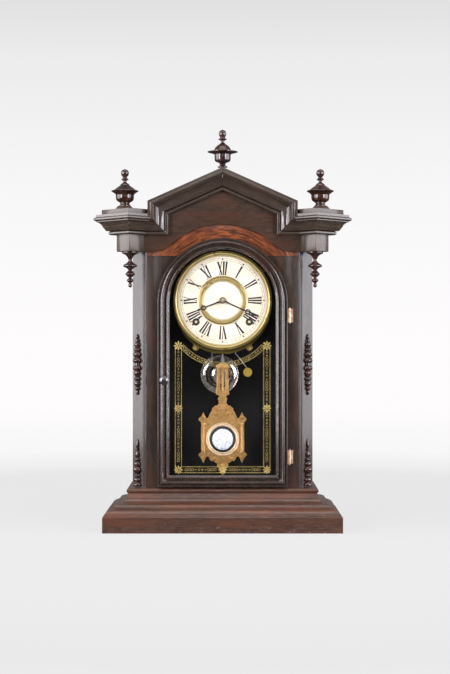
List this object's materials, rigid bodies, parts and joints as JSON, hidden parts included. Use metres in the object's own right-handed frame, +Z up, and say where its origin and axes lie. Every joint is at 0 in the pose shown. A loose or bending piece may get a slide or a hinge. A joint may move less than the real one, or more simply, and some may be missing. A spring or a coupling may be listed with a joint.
{
  "type": "mantel clock",
  "caption": "Wooden parlour mantel clock with a peaked crown, turned finials and pendants, an arched glazed door, a paper dial, and a striking movement with pendulum and bell.",
  "frame": {"origin": "centre of the bounding box on the surface that the clock stands on", "axes": "+Z up, the dial faces -Y, +X to the viewer's right"},
  "size_m": [0.3248, 0.1458, 0.5012],
  "materials": {
    "wood_dark": "dark stained wood under an old glossy finish",
    "wood_red_brown": "red-brown stained wood, glossy with worn edges",
    "veneer_orange_brown": "orange-brown figured veneer, polished",
    "turned_dark_wood": "dark stained turnings, high gloss",
    "pine_board": "bare sawn pine",
    "brass": "aged satin brass",
    "steel": "plain steel",
    "nickel": "nickel plate, slightly dulled",
    "gilt": "matte gilding",
    "blued_steel": "black finished steel",
    "dial_paper": "aged cream paper on a metal plate",
    "glass": "clear flat glass"
  },
  "bodies": {
    "case": {"base_moulding": "wood_red_brown", "base_board": "pine_board", "side_left": "wood_dark", "side_right": "wood_dark", "pilaster_left": "wood_dark", "pilaster_right": "wood_dark", "front_frame": "veneer_orange_brown", "backboard": "pine_board", "top_board": "wood_dark", "pediment_board": "wood_dark", "crown_left": "wood_dark", "crown_right": "wood_dark", "corner_block_left": "wood_dark", "corner_block_right": "wood_dark", "finial_centre": "turned_dark_wood", "finial_left": "turned_dark_wood", "finial_right": "turned_dark_wood", "pendant_left": "turned_dark_wood", "pendant_right": "turned_dark_wood", "spindle_upper_left": "turned_dark_wood", "spindle_upper_right": "turned_dark_wood", "spindle_lower_left": "turned_dark_wood", "spindle_lower_right": "turned_dark_wood", "hinge_upper_case_leaf": "brass", "hinge_lower_case_leaf": "brass", "dial_pan": "brass", "dial_bezel": "brass", "dial_plate": "dial_paper", "dial_centre_ring": "brass", "front_plate": "brass", "back_plate": "brass", "time_mainspring": "steel", "strike_mainspring": "steel", "suspension_cock": "brass", "bell": "nickel", "bell_stand": "steel"},
    "door": {"door_frame": "wood_dark", "door_glass": "glass", "door_knob": "nickel", "hinge_upper_door_leaf": "brass", "hinge_lower_door_leaf": "brass"},
    "centre_arbor": {"centre_wheel": "brass", "minute_hand": "blued_steel"},
    "hour_work": {"hour_hand": "blued_steel"},
    "time_second_arbor": {"time_second_wheel": "brass"},
    "time_great": {"time_great_wheel": "brass"},
    "time_winder": {"time_winding_arbor": "steel"},
    "fourth_arbor": {"fourth_wheel": "brass"},
    "escape_arbor": {"escape_wheel": "brass"},
    "verge_and_crutch": {"verge": "steel"},
    "pendulum": {"pendulum_rod": "steel", "pendulum_bob": "gilt", "pendulum_mirror": "nickel"},
    "strike_cam_arbor": {"strike_cam_wheel": "brass"},
    "strike_second_arbor": {"strike_second_wheel": "brass"},
    "strike_great": {"strike_great_wheel": "brass"},
    "strike_winder": {"strike_winding_arbor": "steel"},
    "fly": {"strike_fly": "brass"},
    "hammer_arm": {"hammer": "steel"},
    "strike_trip": {"strike_trip_wire": "steel"}
  },
  "joints": [
    {"name": "door_hinge", "type": "hinge", "parent": "case", "child": "door", "pos_m": [0.0842, -0.02616, 0.181], "axis": [0, 0, 1], "range_deg": [0, 110]},
    {"name": "centre_arbor_turn", "type": "hinge", "parent": "case", "child": "centre_arbor", "pos_m": [0, 0.01144, 0.2886], "axis": [0, 1, 0], "continuous": true},
    {"name": "hour_hand_turn", "type": "hinge", "parent": "case", "child": "hour_work", "pos_m": [0, 0.01144, 0.2886], "axis": [0, 1, 0], "continuous": true},
    {"name": "time_second_turn", "type": "hinge", "parent": "case", "child": "time_second_arbor", "pos_m": [0.02102, 0.01144, 0.27831], "axis": [0, 1, 0], "continuous": true},
    {"name": "time_great_turn", "type": "hinge", "parent": "case", "child": "time_great", "pos_m": [0.0336, 0.01144, 0.2615], "axis": [0, 1, 0], "continuous": true},
    {"name": "time_winding", "type": "hinge", "parent": "time_great", "child": "time_winder", "pos_m": [0.0336, 0.01144, 0.2615], "axis": [0, 1, 0], "continuous": true},
    {"name": "fourth_turn", "type": "hinge", "parent": "case", "child": "fourth_arbor", "pos_m": [0, 0.01144, 0.2691], "axis": [0, 1, 0], "continuous": true},
    {"name": "escape_turn", "type": "hinge", "parent": "case", "child": "escape_arbor", "pos_m": [0, 0.01144, 0.252], "axis": [0, 1, 0], "continuous": true},
    {"name": "pendulum_swing", "type": "hinge", "parent": "case", "child": "pendulum", "pos_m": [0, 0.01144, 0.235], "axis": [0, 1, 0], "range_deg": [-4, 4]},
    {"name": "verge_rock", "type": "hinge", "parent": "case", "child": "verge_and_crutch", "pos_m": [0, 0.01144, 0.235], "axis": [0, 1, 0], "range_deg": [-4, 4]},
    {"name": "strike_cam_turn", "type": "hinge", "parent": "case", "child": "strike_cam_arbor", "pos_m": [-0.02102, 0.01144, 0.29271], "axis": [0, 1, 0], "continuous": true},
    {"name": "strike_second_turn", "type": "hinge", "parent": "case", "child": "strike_second_arbor", "pos_m": [-0.02102, 0.01144, 0.27831], "axis": [0, 1, 0], "continuous": true},
    {"name": "strike_great_turn", "type": "hinge", "parent": "case", "child": "strike_great", "pos_m": [-0.0336, 0.01144, 0.2615], "axis": [0, 1, 0], "continuous": true},
    {"name": "strike_winding", "type": "hinge", "parent": "strike_great", "child": "strike_winder", "pos_m": [-0.0336, 0.01144, 0.2615], "axis": [0, 1, 0], "continuous": true},
    {"name": "fly_turn", "type": "hinge", "parent": "case", "child": "fly", "pos_m": [-0.02822, 0.01144, 0.30231], "axis": [0, 1, 0], "continuous": true},
    {"name": "hammer_swing", "type": "hinge", "parent": "case", "child": "hammer_arm", "pos_m": [0.014, 0.01144, 0.234], "axis": [0, 1, 0], "range_deg": [-22, 5]},
    {"name": "strike_trip_lift", "type": "hinge", "parent": "case", "child": "strike_trip", "pos_m": [-0.013, 0.01144, 0.234], "axis": [0, 1, 0], "range_deg": [-12, 12]}
  ],
  "couplings": [
    {"joint": "hour_hand_turn", "follows": "centre_arbor_turn", "ratio": 0.083333},
    {"joint": "time_second_turn", "follows": "centre_arbor_turn", "ratio": -0.5},
    {"joint": "time_great_turn", "follows": "centre_arbor_turn", "ratio": 0.083333},
    {"joint": "fourth_turn", "follows": "centre_arbor_turn", "ratio": -12},
    {"joint": "escape_turn", "follows": "centre_arbor_turn", "ratio": 140},
    {"joint": "verge_rock", "follows": "pendulum_swing", "ratio": 1},
    {"joint": "strike_second_turn", "follows": "strike_cam_turn", "ratio": -0.2},
    {"joint": "strike_great_turn", "follows": "strike_cam_turn", "ratio": 0.033333},
    {"joint": "fly_turn", "follows": "strike_cam_turn", "ratio": -7}
  ]
}
